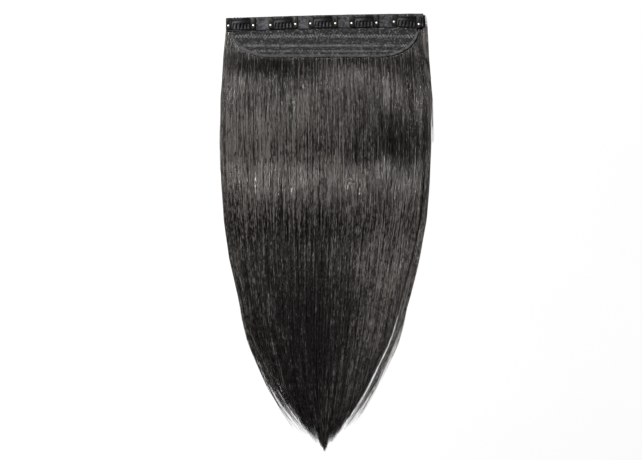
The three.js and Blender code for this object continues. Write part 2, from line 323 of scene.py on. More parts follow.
wovenLooks = {
    "tape": {"upper": (0.070, 0.069, 0.070), "lower": (0.066, 0.068, 0.078), "yarn": 0.5},
    "rim": {"upper": (0.105, 0.102, 0.105), "lower": (0.105, 0.102, 0.105), "yarn": 0.45},
    "flatness": 0.75, "crooked": 0.4, "weaveShare": 0.6,
    # The darkening of the seam's colour is painted shade in its groove.
    "seamPaintedShade": 0.35, "seam": (0.425, 0.445, 0.47),  # as shares of the tape's height, from below
    "fleck": (420, 420, 420), "cloud": (95, 150, 95), "contrast": 3.6, "offset": -3.13,
    "roughness": 0.7, "sheen": 0.1, "relief": (0.6, 0.0002),
}


# Woven cloth: crossed yarns, with one colour above the seam and one below it, the lower one darkened at the
# seam as painted shade in its groove, times an uneven strength from flecks and clouds.
def wovenMaterial(name, upper, lower, yarn):
    look = wovenLooks
    material, tree, shader = newMaterial(name, look["roughness"])
    vector = mapped(tree, "UV")
    warp = bands(tree, vector, "X", yarn, look["crooked"])
    weft = bands(tree, vector, "Y", yarn * look["flatness"], look["crooked"])
    weave = mathNode(tree, "MULTIPLY", warp, weft)
    flecks = noise(tree, mapped(tree, "Object", look["fleck"]), detail=3.0)
    clouds = noise(tree, mapped(tree, "Object", look["cloud"]))
    uneven = scaled(tree, mathNode(tree, "ADD", flecks, clouds), look["contrast"], look["offset"])
    split = tree.nodes.new("ShaderNodeSeparateXYZ")
    tree.links.new(vector, split.inputs[0])
    height = mathNode(tree, "MULTIPLY", split.outputs["Y"], 1000 / tapePlan["height"])
    below, middle, above = look["seam"]
    # At the seam the lower colour is darkened: painted shade in the seam's groove.
    seam = tuple(value * look["seamPaintedShade"] for value in lower)
    tint = tree.nodes.new("ShaderNodeVectorMath")
    tint.operation = "SCALE"
    stops = [(0.0, lower), (below, lower), (middle, seam), (above, upper), (1.0, upper)]
    ramp(tree, height, stops, tint.inputs[0])
    tree.links.new(scaled(tree, weave, look["weaveShare"], uneven), tint.inputs["Scale"])
    tree.links.new(tint.outputs[0], shader.inputs["Base Color"])
    shader.inputs["Sheen Weight"].default_value = look["sheen"]
    bump(tree, shader, mathNode(tree, "ADD", weave, flecks), *look["relief"])
    return material


threadLooks = {
    "plies": 160, "pliesCrooked": 1.5, "plyShare": 0.5, "worn": 210, "wornShare": 3.0,
    "offset": -1.25, "darkAt": 0.1, "lightAt": 0.9, "roughness": 0.6, "sheen": 0.2,
}


# Thread: spiral plies from a slanted wave, with a soft change of shade.
def threadMaterial(name, dark, light):
    look = threadLooks
    material, tree, shader = newMaterial(name, look["roughness"])
    wave = tree.nodes.new("ShaderNodeTexWave")
    wave.bands_direction = "DIAGONAL"
    wave.inputs["Scale"].default_value = look["plies"]
    wave.inputs["Distortion"].default_value = look["pliesCrooked"]
    tree.links.new(mapped(tree, "Object"), wave.inputs["Vector"])
    plies = scaled(tree, wave.outputs["Fac"], look["plyShare"], look["offset"])
    worn = noise(tree, mapped(tree, "Object"), look["worn"], 3.0)
    level = scaled(tree, worn, look["wornShare"], plies)
    ramp(tree, level, [(look["darkAt"], dark), (look["lightAt"], light)], shader.inputs["Base Color"])
    shader.inputs["Sheen Weight"].default_value = look["sheen"]
    return material


metalLooks = {
    "paint": {"colours": [(0.35, (0.005, 0.0046, 0.0046)), (0.7, (0.013, 0.0118, 0.0115))],
              "gloss": [(0.3, (0.36, 0.36, 0.36)), (0.75, (0.52, 0.52, 0.52))],
              "roughness": 0.45, "specular": 0.16, "grain": (260, 4.0), "relief": (0.12, 0.0001)},
    "rivet": {"colours": [(0.3, (0.74, 0.69, 0.59)), (0.7, (0.93, 0.89, 0.78))],
              "roughness": 0.46, "grain": (1500, 2.0), "relief": (0.15, 0.00005)},
}


# Black stoved paint on steel: nearly black, a little uneven, rubbed slightly lighter in patches.
def paintMaterial():
    look = metalLooks["paint"]
    material, tree, shader = newMaterial("blackPaint", look["roughness"])
    shader.inputs["Specular IOR Level"].default_value = look["specular"]
    fine = noise(tree, mapped(tree, "Object"), *look["grain"])
    ramp(tree, fine, look["colours"], shader.inputs["Base Color"])
    ramp(tree, fine, look["gloss"], shader.inputs["Roughness"])
    bump(tree, shader, fine, *look["relief"])
    return material


# Bright rivet metal with a fine turned grain.
def rivetMaterial():
    look = metalLooks["rivet"]
    material, tree, shader = newMaterial("rivetMetal", look["roughness"], metallic=1.0)
    grain = noise(tree, mapped(tree, "Object"), *look["grain"])
    ramp(tree, grain, look["colours"], shader.inputs["Base Color"])
    bump(tree, shader, grain, *look["relief"])
    return material


hairLook = hairMaterial()
netLook = netMaterial()
tapeLook = wovenMaterial("wovenTape", **wovenLooks["tape"])
rimLook = wovenMaterial("boundEdge", **wovenLooks["rim"])
greyThread = threadMaterial("greyThread", (0.035, 0.035, 0.037), (0.15, 0.15, 0.155))
rowThread = threadMaterial("rowThread", (0.03, 0.03, 0.031), (0.38, 0.38, 0.39))
paleThread = threadMaterial("paleThread", (0.12, 0.12, 0.12), (0.30, 0.30, 0.29))
blackThread = threadMaterial("blackThread", (0.012, 0.012, 0.013), (0.035, 0.034, 0.034))
paintLook = paintMaterial()
rivetLook = rivetMaterial()
print("materials ready")


hairPlan = {
    "length": 560, "widestHalf": 137, "rootThickness": 3, "thickness": 7.5, "rootInset": 1.5,
    "riseStart": 22, "riseEnd": 51,
    "waveHeight": 1.6, "waveLength": 112, "waveCrest": 238, "waveReach": 122,
    "locks": 18, "valley": 0.86, "notch": 9, "sideShortening": 22, "lockTrims": [0, 5, 2, 7, 3],
    "coverHalf": 121, "coverCorner": 45, "coverDepth": 34, "coverEnd": 119, "besideCover": 9.0,
    "climbEnds": 0.1, "narrowBelow": 0.93, "sideRoundness": 8,
}
# Shares along the length, of the widest half to the left and to the right, and of the thickness.
hairOutline = np.array([
    (0.0, 0.92, 0.94, 1.0), (0.09, 0.955, 0.955, 1.0), (0.19, 0.98, 0.99, 1.04), (0.29, 0.985, 1.0, 1.0),
    (0.38, 0.975, 0.99, 0.98), (0.47, 0.947, 0.958, 0.93), (0.56, 0.895, 0.885, 0.86),
    (0.65, 0.81, 0.785, 0.78), (0.7, 0.77, 0.725, 0.73), (0.75, 0.7, 0.655, 0.67), (0.8, 0.6, 0.55, 0.6),
    (0.86, 0.49, 0.44, 0.52), (0.91, 0.355, 0.31, 0.44), (0.955, 0.205, 0.165, 0.36),
    (1.0, 0.035, 0.01, 0.25),
])


# Left edge, right edge and fullness of the hair at a distance below the tape's upper edge.
def outlineAt(below):
    along = below / hairPlan["length"]
    left, right, thick = (np.interp(along, hairOutline[:, 0], hairOutline[:, k]) for k in (1, 2, 3))
    return left * hairPlan["widestHalf"], right * hairPlan["widestHalf"], thick * hairPlan["thickness"]


# Height of the hair's upper side: thin at the sewn head, rising under the panel, then carrying
# waves whose height fades away from the crest by a bell curve.
def hairHeight(down):
    past = down - hairPlan["waveCrest"]
    ripple = hairPlan["waveHeight"] * bell(past / hairPlan["waveReach"])
    full = outlineAt(down)[2] + ripple * np.cos(2 * math.pi * past / hairPlan["waveLength"])
    rise = smoothStep(down, hairPlan["riseStart"], hairPlan["riseEnd"])
    return hairPlan["rootThickness"] * (1 - rise) + full * rise


# What the strands add to that height: a stronger main wave that starts more suddenly, a dip
# below the panel, and local swells, each an S curve down the hair and a bell curve across it.
strandWaves = {
    "height": 2.2, "reachAbove": 74, "reachBelow": 72,
    "dip": 1.1, "dipDown": 70, "dipAbove": 12, "dipBelow": 70, "coverLift": 0.4, "coverRise": 190,
}
swells = np.array([  # across, down, half width across, half length down, height
    (12, 76, 17, 20, 0.9), (46, 74, 18, 18, 1.1), (86, 96, 20, 22, 1.1), (-28, 116, 20, 28, 1.0),
    (-112, 84, 18, 26, 0.7), (-75, 140, 34, 34, 0.7), (92, 158, 32, 34, -1.1), (-66, 64, 46, 18, -1.2),
    (64, 262, 40, 40, 0.6), (92, 330, 30, 40, 0.8),
])


# Where hair comes out from under the cloth: the panel's curved edge, or the tape beside it.
def rootDown(across):
    corner = hairPlan["coverCorner"]
    fromCorner = np.clip((np.abs(across) - (hairPlan["coverHalf"] - corner)) / corner, 0, 1)
    edge = tapePlan["height"] + hairPlan["coverDepth"] * np.sqrt(1 - fromCorner**2)
    return np.where(np.abs(across) < hairPlan["coverEnd"], edge, hairPlan["besideCover"])


# Height of the strands: the outline's fullness plus the main wave, less the dip, plus the swells.
# Under the cloth it keeps below the cloth. From the cloth's edge on it rises slowly.
def strandHeight(across, down, shift, wavier):
    past = down - hairPlan["waveCrest"] - shift
    reach = np.where(past < 0, strandWaves["reachAbove"], strandWaves["reachBelow"])
    ripple = strandWaves["height"] * wavier * bell(past / reach)
    full = outlineAt(down)[2] + ripple * np.cos(2 * math.pi * past / hairPlan["waveLength"])
    dipReach = np.where(down < strandWaves["dipDown"], strandWaves["dipAbove"], strandWaves["dipBelow"])
    full = full - strandWaves["dip"] * bell((down - strandWaves["dipDown"]) / dipReach)
    for x, y, wide, long, height in swells:
        t = (down - shift - y) / long
        full = full + height * wavier * t * np.exp(-t * t - ((across - x) / wide) ** 2)
    edge = rootDown(across)
    lifted = hairHeight(np.minimum(down, edge)) + strandWaves["coverLift"]
    covered = np.minimum(hairHeight(edge), lifted)
    rise = smoothStep(down, edge, edge + strandWaves["coverRise"])
    short = outlineAt(edge)[2] - hairHeight(edge)
    return np.where(down < edge, covered, np.maximum(full - short * (1 - rise), hairPlan["rootThickness"]))


# Broad changes of the hair's shade, partly its own tone and partly painted light. It is lighter and browner
# at the lower right and darker in the lower middle. There are painted highlights on the crests and along the
# main band, and painted shade in the hollows, under the panel's rim and beside its corners.
paintedLightAndTonePatches = np.array([  # across, down, half width across, half length down, change
    (92, 330, 46, 150, 0.22), (-10, 425, 44, 120, -0.52), (-62, 360, 45, 110, -0.12),
    (-88, 160, 54, 70, 0.46), (92, 158, 34, 34, -0.34), (-20, 285, 70, 50, -0.05),
    (0, 54, 200, 13, -0.08), (86, 96, 20, 16, 0.24), (-20, 94, 20, 16, -0.14), (30, 112, 26, 16, -0.16),
    (30, 78, 34, 14, 0.34), (-28, 116, 20, 24, 0.24), (-36, 206, 116, 28, 0.26), (-70, 60, 50, 24, -0.40),
    (-120, 36, 15, 34, -0.36), (112, 40, 16, 30, -0.26), (10, 140, 46, 44, 0.20), (0, 240, 110, 34, 0.20),
    (0, 122, 200, 18, -0.10), (88, 214, 44, 34, -0.24), (118, 100, 13, 32, -0.26),
    (-63, 88, 18, 14, -0.16), (14, 132, 14, 14, -0.14), (-12, 272, 30, 20, 0.14),
])


# The sum of the patches of tone, painted highlights and painted shade, each a bell curve across times a bell
# curve down.
def paintedLightAndTone(across, down):
    total = 0.0
    for x, y, wide, long, change in paintedLightAndTonePatches:
        total = total + change * np.exp(-((across - x) / wide) ** 2 - ((down - y) / long) ** 2)
    return total


parting = {
    "across": 115.8, "down": 32, "lean": 0.56, "width": 2.2,
    # deep is how far the strands sink in the parting; darker is how much painted shade darkens it.
    "from": 22, "to": 84, "fadeIn": 12, "fadeOut": 22, "deep": 0.4, "darker": 1.5,
}


# The dark parting beside the panel's right corner: a narrow bell curve round a slanted line. The strands sink
# a little there, and their darkening there is painted shade in the groove.
def partingDepth(across, down):
    line = parting["across"] + (down - parting["down"]) * parting["lean"]
    fadeIn = smoothStep(down, parting["from"], parting["from"] + parting["fadeIn"])
    fadeOut = smoothStep(down, parting["to"] - parting["fadeOut"], parting["to"])
    return bell((across - line) / parting["width"]) * (fadeIn * (1 - fadeOut))


# How far down a point of the hair lies: the tape's climb dies out over the first tenth.
def hairDown(across, below):
    fade = 1 - below / hairPlan["length"] / hairPlan["climbEnds"]
    return below + tapeEdge(across) * np.clip(fade, 0, None)


# The unevenness of the lower end at a share across: the lock's own trim, a notch between two
# locks, and shorter hair towards the sides.
def endTrim(share):
    at = (share + 1) / 2 * hairPlan["locks"]
    lock = np.clip(at.astype(int), 0, hairPlan["locks"] - 1)
    fromMiddle = np.abs(at - lock - 0.5) * 2
    trims = np.array(hairPlan["lockTrims"])[lock % len(hairPlan["lockTrims"])]
    return trims + hairPlan["notch"] * fromMiddle**2 + hairPlan["sideShortening"] * np.abs(share) ** 1.5


# How the hair's height falls off to its two sides: a rounded square.
def sideFall(share):
    return np.sqrt(np.clip(1 - np.abs(share) ** hairPlan["sideRoundness"], 0, 1))


corePlan = {
    "columns": 190, "underColumns": 24, "rows": 96, "start": 1, "end": 0.955,
    "groove": 0.22, "grooveWave": 9, "grooveSwell": 0.12, "sunk": 1.3, "least": 0.5, "floor": 0.25,
    "wide": 0.97, "narrower": (280, 380, 0.07), "tipNarrower": (430, 540, 0.55),
    # shade is darker than the strands': painted shade for the hair deep under them.
    "tip": (440, 535), "tipShift": 1.5, "tipThinner": 0.5, "shade": -0.2,
}


# The dark core under the strands: one closed tube whose section is the hair's own, a little smaller, with a
# fine groove between strands. Its darker shade is painted shade for the deep hair under and between the
# strands. It draws in and thins out towards the tip.
def hairCore():
    core = corePlan
    rng = np.random.default_rng(11)
    top, bottom, rows = core["columns"], core["underColumns"], core["rows"]
    share = np.concatenate([np.linspace(-1, 1, top), np.linspace(1, -1, bottom + 2)[1:-1]])
    upper = np.arange(len(share)) < top
    grooves = core["groove"] * rng.random(top)
    grooves = grooves + core["grooveSwell"] * softNoise(rng, np.arange(top) * 1.0, core["grooveWave"])
    groove = np.concatenate([grooves, np.zeros(bottom)])
    last = core["end"] * hairPlan["length"]
    below = np.linspace(hairPlan["rootInset"] + core["start"], last, rows)[:, None]
    left, right, _ = outlineAt(below)
    half, middle = (left + right) / 2, (right - left) / 2
    shrink = core["wide"]
    for start, end, amount in (core["narrower"], core["tipNarrower"]):
        shrink = shrink - amount * smoothStep(below, start, end)
    towardsTip = smoothStep(below, *core["tip"])
    across = middle + share * half * shrink + core["tipShift"] * towardsTip
    down = hairDown(across, below)
    height = (strandHeight(across, down, 0.0, 1.0) - core["sunk"] - groove) * sideFall(share)
    height = height * (1 - core["tipThinner"] * towardsTip)
    up = np.where(upper, np.maximum(height, core["least"]), core["floor"])
    points = place(across, down, up).reshape(-1, 3)
    columns = len(share)
    walls = gridFaces(rows, columns, wrap=True)[:, ::-1]
    ring = np.arange(columns)[None, :]
    caps = (rows - 1) * columns + ring[:, ::-1]
    flow = np.broadcast_arrays(share * hairPlan["widestHalf"] / 1000, below / 1000)
    return makePiece("hair_core", points, [walls, ring, caps], hairLook,
                     shade=np.full(len(points), core["shade"]), uv=np.stack(flow, -1).reshape(-1, 2))


strandPlan = {
    "rings": 27, "spacing": 0.6, "radius": 0.29, "thinnest": 0.7, "thickest": 1.25,
    "tipTaper": 0.75, "taperLength": 120, "rootTaper": 0.8, "rootFrom": 1, "rootTo": 15,
    "fringeLeft": 0.94, "fringeRight": 0.93, "openFrom": 0.4, "shortest": 60, "keepsOutline": 0.98,
    "clumps": 110, "draw": (200, 540, 0.55), "gather": (430, 545, 0.06),
    "clumpWaves": ((58, 0.5), (33, 0.3)), "ownWaves": ((45, 0.5), (21, 0.22)),  # length, strength
    "sideWander": 1.6, "wanderGrows": (40, 260), "pushLength": 130,
    "phaseSwell": 6, "phaseLength": 46, "phaseSpread": 7.0,
    "wavier": 0.16, "wavierLength": 30, "wavierSpread": 0.16,
    "bobs": ((12, 3, 0.30), (19, 5, 0.30)), "bobGrows": (50, 90),  # length, phase factor, height
    "depthAtRoot": 0.4, "depthGrows": (30, 80), "offFloor": 0.05,
}


# The sum of two sines down the strands, with a wave length, a strength and a phase each.
def twoWaves(below, waves, phases):
    parts = [np.sin(below / length + phases[:, k:k + 1]) * strength
             for k, (length, strength) in enumerate(waves)]
    return parts[0] + parts[1]


# The path of every strand of one group. u is the strand's place across, from -1 to 1, level the
# share of the hair's height that it lies at, and depth how far it lies below that. follow is 1 for
# strands that keep to the outline and less for strands that run straighter and end at the outline.
# trim shortens a strand, and push moves it outwards from pushFrom on.
def strandPaths(rng, u, start, depth, level, follow, trim, wander, push, pushFrom):
    plan, count = strandPlan, len(u)
    share = np.linspace(0, 1, plan["rings"])[None, :]
    share = (1 - plan["spacing"]) * share + plan["spacing"] * share**2
    along = np.linspace(plan["openFrom"], 1, 400)
    left, right, _ = outlineAt(along * hairPlan["length"])
    narrowHalf = hairPlan["narrowBelow"] * hairPlan["widestHalf"]
    openness = np.minimum(1, (left + right) / 2 / narrowHalf)
    # The strand ends where its straighter way meets the fringe along the outline.
    fringe = np.where(u > 0, plan["fringeRight"], plan["fringeLeft"])
    meets = -(np.abs(u) / fringe) ** (1 / np.maximum(1 - follow, 1e-3))
    limit = np.interp(meets, -openness, along) * hairPlan["length"]
    limit = np.where(follow > plan["keepsOutline"], hairPlan["length"], limit)
    end = np.minimum(limit, hairPlan["length"] - endTrim(u)) - trim
    end = np.maximum(end, start + plan["shortest"])[:, None]
    below = start[:, None] + (end - start[:, None]) * share
    left, right, _ = outlineAt(below)
    half, middle = (left + right) / 2, (right - left) / 2
    narrow = np.minimum(1, half / narrowHalf)
    half = half * narrow ** (follow[:, None] - 1)
    # Clumps drift sideways together and draw in a little towards their middle.
    clump = np.floor((u + 1) / 2 * plan["clumps"]).astype(int)
    centre = (clump + 0.5) / plan["clumps"] * 2 - 1
    phases = rng.uniform(0, wholeTurn, (plan["clumps"] + 2, 3))[clump]
    own = rng.uniform(0, wholeTurn, (count, 2))
    drift = twoWaves(below, plan["clumpWaves"], phases)
    loose = twoWaves(below, plan["ownWaves"], own)
    grow = smoothStep(below, *plan["wanderGrows"])
    drawFrom, drawTo, draw = plan["draw"]
    gatherFrom, gatherTo, gather = plan["gather"]
    uu = u[:, None] + (centre - u)[:, None] * (draw * smoothStep(below, drawFrom, drawTo))
    uu = uu * (1 - gather * smoothStep(below, gatherFrom, gatherTo))
    pushed = np.sign(u)[:, None] * push * smoothStep(below, pushFrom, pushFrom + plan["pushLength"])
    across = middle + uu * half + pushed
    across = across + grow * plan["sideWander"] * drift * narrow + wander * loose * grow
    down = hairDown(across, below)
    # Waves shift a little from clump to clump and from strand to strand.
    rootAcross = u * hairPlan["widestHalf"]
    swell = softNoise(np.random.default_rng(5), rootAcross, plan["phaseLength"])
    shift = plan["phaseSwell"] * swell + rng.normal(0, plan["phaseSpread"], count)
    swell = softNoise(np.random.default_rng(6), rootAcross, plan["wavierLength"])
    wavier = 1 + plan["wavier"] * swell + rng.normal(0, plan["wavierSpread"], count)
    top = strandHeight(across, down, shift[:, None], wavier[:, None])
    lock = (u + 1) / 2 * hairPlan["locks"]
    valley = 1 - (1 - hairPlan["valley"]) * (np.abs(lock - np.floor(lock) - 0.5) * 2) ** 3
    side = sideFall(np.clip(u, -1, 1))
    rise = top * side[:, None] * valley[:, None] - parting["deep"] * partingDepth(across, down)
    bob = sum(height * np.sin(below / length + own[:, k:k + 1] * factor)
              for k, (length, factor, height) in enumerate(plan["bobs"]))
    deeper = smoothStep(below, *plan["depthGrows"])
    rise = rise - depth[:, None] * (plan["depthAtRoot"] + (1 - plan["depthAtRoot"]) * deeper)
    rise = rise + bob * smoothStep(below, *plan["bobGrows"])
    radius = plan["radius"] * rng.uniform(plan["thinnest"], plan["thickest"], count)[:, None]
    radius = radius * (1 - plan["tipTaper"] * smoothStep(below, end - plan["taperLength"], end))
    rooted = smoothStep(below - start[:, None], plan["rootFrom"], plan["rootTo"])
    radius = radius * (1 - plan["rootTaper"] + plan["rootTaper"] * rooted)
    up = np.maximum(level[:, None] * rise, radius + plan["offFloor"])
    return place(across, down, up), radius / 1000, below, across


strandShades = {
    "middle": 0.435, "lower": (200, 300, 0.08), "tip": (420, 550, 0.15),
    "spread": 0.34, "calmer": (120, 270, 0.4), "least": -0.1, "most": 1.1,
}


# One piece of three-sided strands. A strand's shade is the middle one plus what it has of its own and what
# the patches add: tone, painted highlights and painted shade. It is lighter in the lower half and at the tip,
# and darker in the parting, where the darkness is painted shade.
def strandPiece(name, rng, u, start, level, follow, trim, depth=None,
                lighter=0.0, thin=1.0, wander=0.7, push=0.0, pushFrom=300.0):
    sides, count, look = 3, len(u), strandShades
    depth = np.zeros(count) if depth is None else depth
    paths, radius, below, across = strandPaths(rng, u, start, depth, level, follow, trim,
                                               wander, push, pushFrom)
    points, walls, caps = tubes(paths, radius * thin, sides, rng.uniform(0, 2.09, count))
    lowerFrom, lowerTo, lower = look["lower"]
    tipFrom, tipTo, tip = look["tip"]
    calmFrom, calmTo, calmer = look["calmer"]
    own = rng.normal(0, look["spread"], count)[:, None] * (1 - calmer * smoothStep(below, calmFrom, calmTo))
    shade = look["middle"] + lower * smoothStep(below, lowerFrom, lowerTo) + own
    # The patches add the hair's own tone and also painted highlights and painted shade.
    shade = shade + paintedLightAndTone(across, below) + tip * smoothStep(below, tipFrom, tipTo) + lighter
    # Painted shade in the parting's groove.
    shade = shade - parting["darker"] * partingDepth(across, below)
    shade = np.repeat(np.clip(shade, look["least"], look["most"])[:, :, None], sides, axis=2).ravel()
    flow = np.broadcast_arrays(u[:, None] * hairPlan["widestHalf"] / 1000, below / 1000)
    flow = np.repeat(np.stack(flow, -1)[:, :, None], sides, axis=2).reshape(-1, 2)
    return makePiece(name, points, [walls, caps], hairLook, shade=shade, uv=flow)


earlyPlan = {"beside": 0.14, "left": 0.7, "right": 0.45, "least": 2, "most": 27}


# How much earlier strands end: beside the tip most of them do, by an even spread of lengths, and
# more of them on the left, so the hair thins out there.
def earlyEnds(rng, u):
    likely = np.where(u < 0, earlyPlan["left"], earlyPlan["right"])
    early = (np.abs(u) > earlyPlan["beside"]) & (rng.random(len(u)) < likely)
    return np.where(early, rng.uniform(earlyPlan["least"], earlyPlan["most"], len(u)), 0.0)


topPlan = {
    "names": ("hair_top_left", "hair_top_middle", "hair_top_right"), "count": 1040, "reach": 0.97,
    "rootReach": 131, "underCloth": (2, 6), "highest": 2.5, "depth": 1.1, "depthPower": 1.3,
    "trim": 14, "trimEven": 8, "middle": 0.16, "middleTrim": 0.3,
    "tipAt": 0.02, "tipHalf": 0.1, "tipLonger": 5.0, "follow": (0.55, 0.75),
}


# Upper side, in three pieces from left to right. The strands start just under the cloth's edge.
def topStrands(rng):
    plan, n = topPlan, topPlan["count"]
    for k, name in enumerate(plan["names"]):
        u = (-1 + 2 * (k + rng.random(n)) / 3) * plan["reach"]
        start = rootDown(u * plan["rootReach"]) - rng.uniform(*plan["underCloth"], n)
        depth = rng.uniform(0.0, plan["depth"], n) ** plan["depthPower"]
        trim = np.abs(rng.normal(0, plan["trim"], n)) + plan["trimEven"] * rng.random(n)
        trim = trim * np.where(np.abs(u) < plan["middle"], plan["middleTrim"], 1.0)
        longer = np.where(np.abs(u - plan["tipAt"]) < plan["tipHalf"], plan["tipLonger"], 0.0)
        trim = trim - longer + earlyEnds(rng, u)
        follow = rng.uniform(*plan["follow"], n)
        yield strandPiece(name, rng, u, np.maximum(start, plan["highest"]), np.ones(n), follow, trim, depth)


underPlan = {
    "count": 600, "reach": 0.97, "level": (0.05, 0.14), "start": (2.5, 6), "follow": (0.55, 0.8), "trim": 15,
}


# Lower side, from the sewn head to the ends.
def underStrands(rng):
    plan, n = underPlan, underPlan["count"]
    u = rng.uniform(-plan["reach"], plan["reach"], n)
    level = rng.uniform(*plan["level"], n)
    start = rng.uniform(*plan["start"], n)
    follow = rng.uniform(*plan["follow"], n)
    trim = np.abs(rng.normal(0, plan["trim"], n)) + earlyEnds(rng, u)
    return strandPiece("hair_under", rng, u, start, level, follow, trim)


edgePlan = {
    "count": 560, "outerShare": 0.72, "outer": (0.957, 0.997), "inner": (0.88, 0.93), "left": (0.93, 0.995),
    "outerPush": 0.8, "innerPush": -1.8, "pushFrom": 240.0,
    "outerTrim": (60, 260), "innerTrim": (10, 120), "start": (2.5, 6), "level": (0.15, 1.0),
}


# The two long edges. On the right an outer wisp stands off from the rest by a narrow gap.
def edgeStrands(rng):
    plan, n = edgePlan, edgePlan["count"]
    sign = np.where(np.arange(n) % 2, 1.0, -1.0)
    outer = rng.random(n) < plan["outerShare"]
    u = np.where(outer, rng.uniform(*plan["outer"], n), rng.uniform(*plan["inner"], n)) * sign
    u = np.where((sign < 0) & outer, -rng.uniform(*plan["left"], n), u)
    push = np.where(sign > 0, np.where(outer, plan["outerPush"], plan["innerPush"]), 0.0)[:, None]
    trim = np.where(outer, rng.uniform(*plan["outerTrim"], n), rng.uniform(*plan["innerTrim"], n))
    start = rng.uniform(*plan["start"], n)
    level = rng.uniform(*plan["level"], n)
    return strandPiece("hair_edges", rng, u, start, level, np.ones(n), trim,
                       push=push, pushFrom=plan["pushFrom"])


fringePlan = {
    "count": 520, "wisps": 16, "push": 4.8, "ownPush": 0.5, "pushFrom": (325, 430),
    "right": (0.970, 0.009), "left": (0.955, 0.02), "ownSpread": 0.006, "within": (0.9, 0.995),
    "start": (120, 240), "level": (0.1, 0.8), "trim": (0, 130), "lighter": 0.15, "thin": 0.68, "wander": 1.0,
}


# Fine wisps that leave the edges in the lower half and let the floor show between them. All the
# strands of a wisp share its place and its push.
def fringeStrands(rng):
    plan, n, wisps = fringePlan, fringePlan["count"], fringePlan["wisps"]
    sign = np.where(np.arange(n) % 2, 1.0, -1.0)
    wisp = rng.integers(0, wisps, n)
    push = np.abs(rng.normal(0, plan["push"], wisps))[wisp] + rng.normal(0, plan["ownPush"], n)
    pushFrom = rng.uniform(*plan["pushFrom"], wisps)[wisp]
    sides = (plan["right"], plan["left"])
    right, left = (at + spread * rng.normal(0, 1, wisps)[wisp] for at, spread in sides)
    u = sign * np.clip(np.where(sign > 0, right, left) + rng.normal(0, plan["ownSpread"], n), *plan["within"])
    start = rng.uniform(*plan["start"], n)
    level = rng.uniform(*plan["level"], n)
    return strandPiece("hair_fringe", rng, u, start, level, np.ones(n), rng.uniform(*plan["trim"], n),
                       lighter=plan["lighter"], thin=plan["thin"], wander=plan["wander"],
                       push=push[:, None], pushFrom=pushFrom[:, None])


flyawayPlan = {
    "count": 150, "rightShare": 0.75, "at": (0.965, 1.015), "leftInwards": 0.017,
    "rightStart": (2.5, 18), "leftStart": (60, 200), "level": (0.2, 1.0), "trim": (360, 480),
    "rightPush": 1.4, "leftPush": 0.2, "pushFrom": -80.0, "lighter": 0.4, "wander": 2.0,
}


# Short flyaway hair beside the tape's right end and along both sides.
def flyawayStrands(rng):
    plan, n = flyawayPlan, flyawayPlan["count"]
    first, spread = plan["rightStart"]
    sign = np.where(rng.random(n) < plan["rightShare"], 1.0, -1.0)
    u = sign * (rng.uniform(*plan["at"], n) - plan["leftInwards"] * (sign < 0))
    start = np.where(sign > 0, first + np.abs(rng.normal(0, spread, n)), rng.uniform(*plan["leftStart"], n))
    level = rng.uniform(*plan["level"], n)
    push = np.where(sign > 0, plan["rightPush"], plan["leftPush"])[:, None]
    return strandPiece("hair_flyaway", rng, u, start, level, np.ones(n), rng.uniform(*plan["trim"], n),
                       lighter=plan["lighter"], wander=plan["wander"], push=push, pushFrom=plan["pushFrom"])


core = hairCore()
rng = np.random.default_rng(23)
strands = [*topStrands(rng), underStrands(rng), edgeStrands(rng), fringeStrands(rng), flyawayStrands(rng)]
settle(core, node="hair")
for piece in strands:
    settle(piece)
print("hair ready:", sum(len(piece.data.polygons) for piece in strands), "faces of strands")


panelPlan = {
    "half": 121, "cornerAcross": 50, "depth": 36, "binding": 3, "layerGap": 0.5, "clothLift": 0.5,
    "wefts": (26.4, 38.6, 49.0), "weftHeight": 0.45, "weftHalf": 2.6, "tuck": 1.5,
    "columns": 220, "rows": 44, "underRim": 0.6, "pucker": 0.10, "puckerLength": 7,
    "puckerLean": 0.4, "puckerGrows": (17, 22), "wall": 0.7,
}


# The panel's edge at an angle from its side (0) to its lower edge (a quarter turn).
def panelEdge(angle, outset):
    across = panelPlan["half"] - panelPlan["cornerAcross"] * (1 - np.cos(angle)) + outset * np.cos(angle)
    return across, tapePlan["height"] + (panelPlan["depth"] + outset) * np.sin(angle)


# Height of the cloth: it lies on the hair, and each sewn weft under it lifts it in a bell curve.
def panelUp(down):
    lift = sum(bell((down - weft) / panelPlan["weftHalf"]) for weft in panelPlan["wefts"])
    return hairHeight(down) + panelPlan["layerGap"] + panelPlan["clothLift"] + panelPlan["weftHeight"] * lift


# The net panel: rows that shorten with its curved edge, from the tuck under the tape down to the
# rim, at the cloth's height plus a fine pucker, and then given its thickness.
def basePanel():
    plan, columns, rows = panelPlan, panelPlan["columns"], panelPlan["rows"]
    angle = np.concatenate([[0.0], np.linspace(0, math.pi / 2, rows)])[:, None]
    edgeAcross, edgeDown = panelEdge(angle, -plan["binding"] * plan["underRim"])
    across = np.linspace(-1, 1, columns)[None, :] * edgeAcross
    first = np.arange(rows + 1)[:, None] == 0
    down = np.where(first, tapeEdge(across) + plan["tuck"], edgeDown + 0 * across)
    along = across + plan["puckerLean"] * down
    pucker = plan["pucker"] * softNoise(np.random.default_rng(3), along, plan["puckerLength"])
    pucker = pucker * smoothStep(down, *plan["puckerGrows"])
    points = place(across, down, panelUp(down) + pucker).reshape(-1, 3)
    uv = np.stack([across.ravel() / 1000, down.ravel() / 1000], axis=-1)
    faces = gridFaces(rows + 1, columns)[:, ::-1]
    piece = makePiece("base_panel_net", points, [faces], netLook, uv=uv)
    wall = piece.modifiers.new("thickness", "SOLIDIFY")
    wall.thickness = plan["wall"] / 1000
    wall.offset = -1
    return piece


panel = basePanel()
settle(panel, node="base_panel")
print("base panel ready")


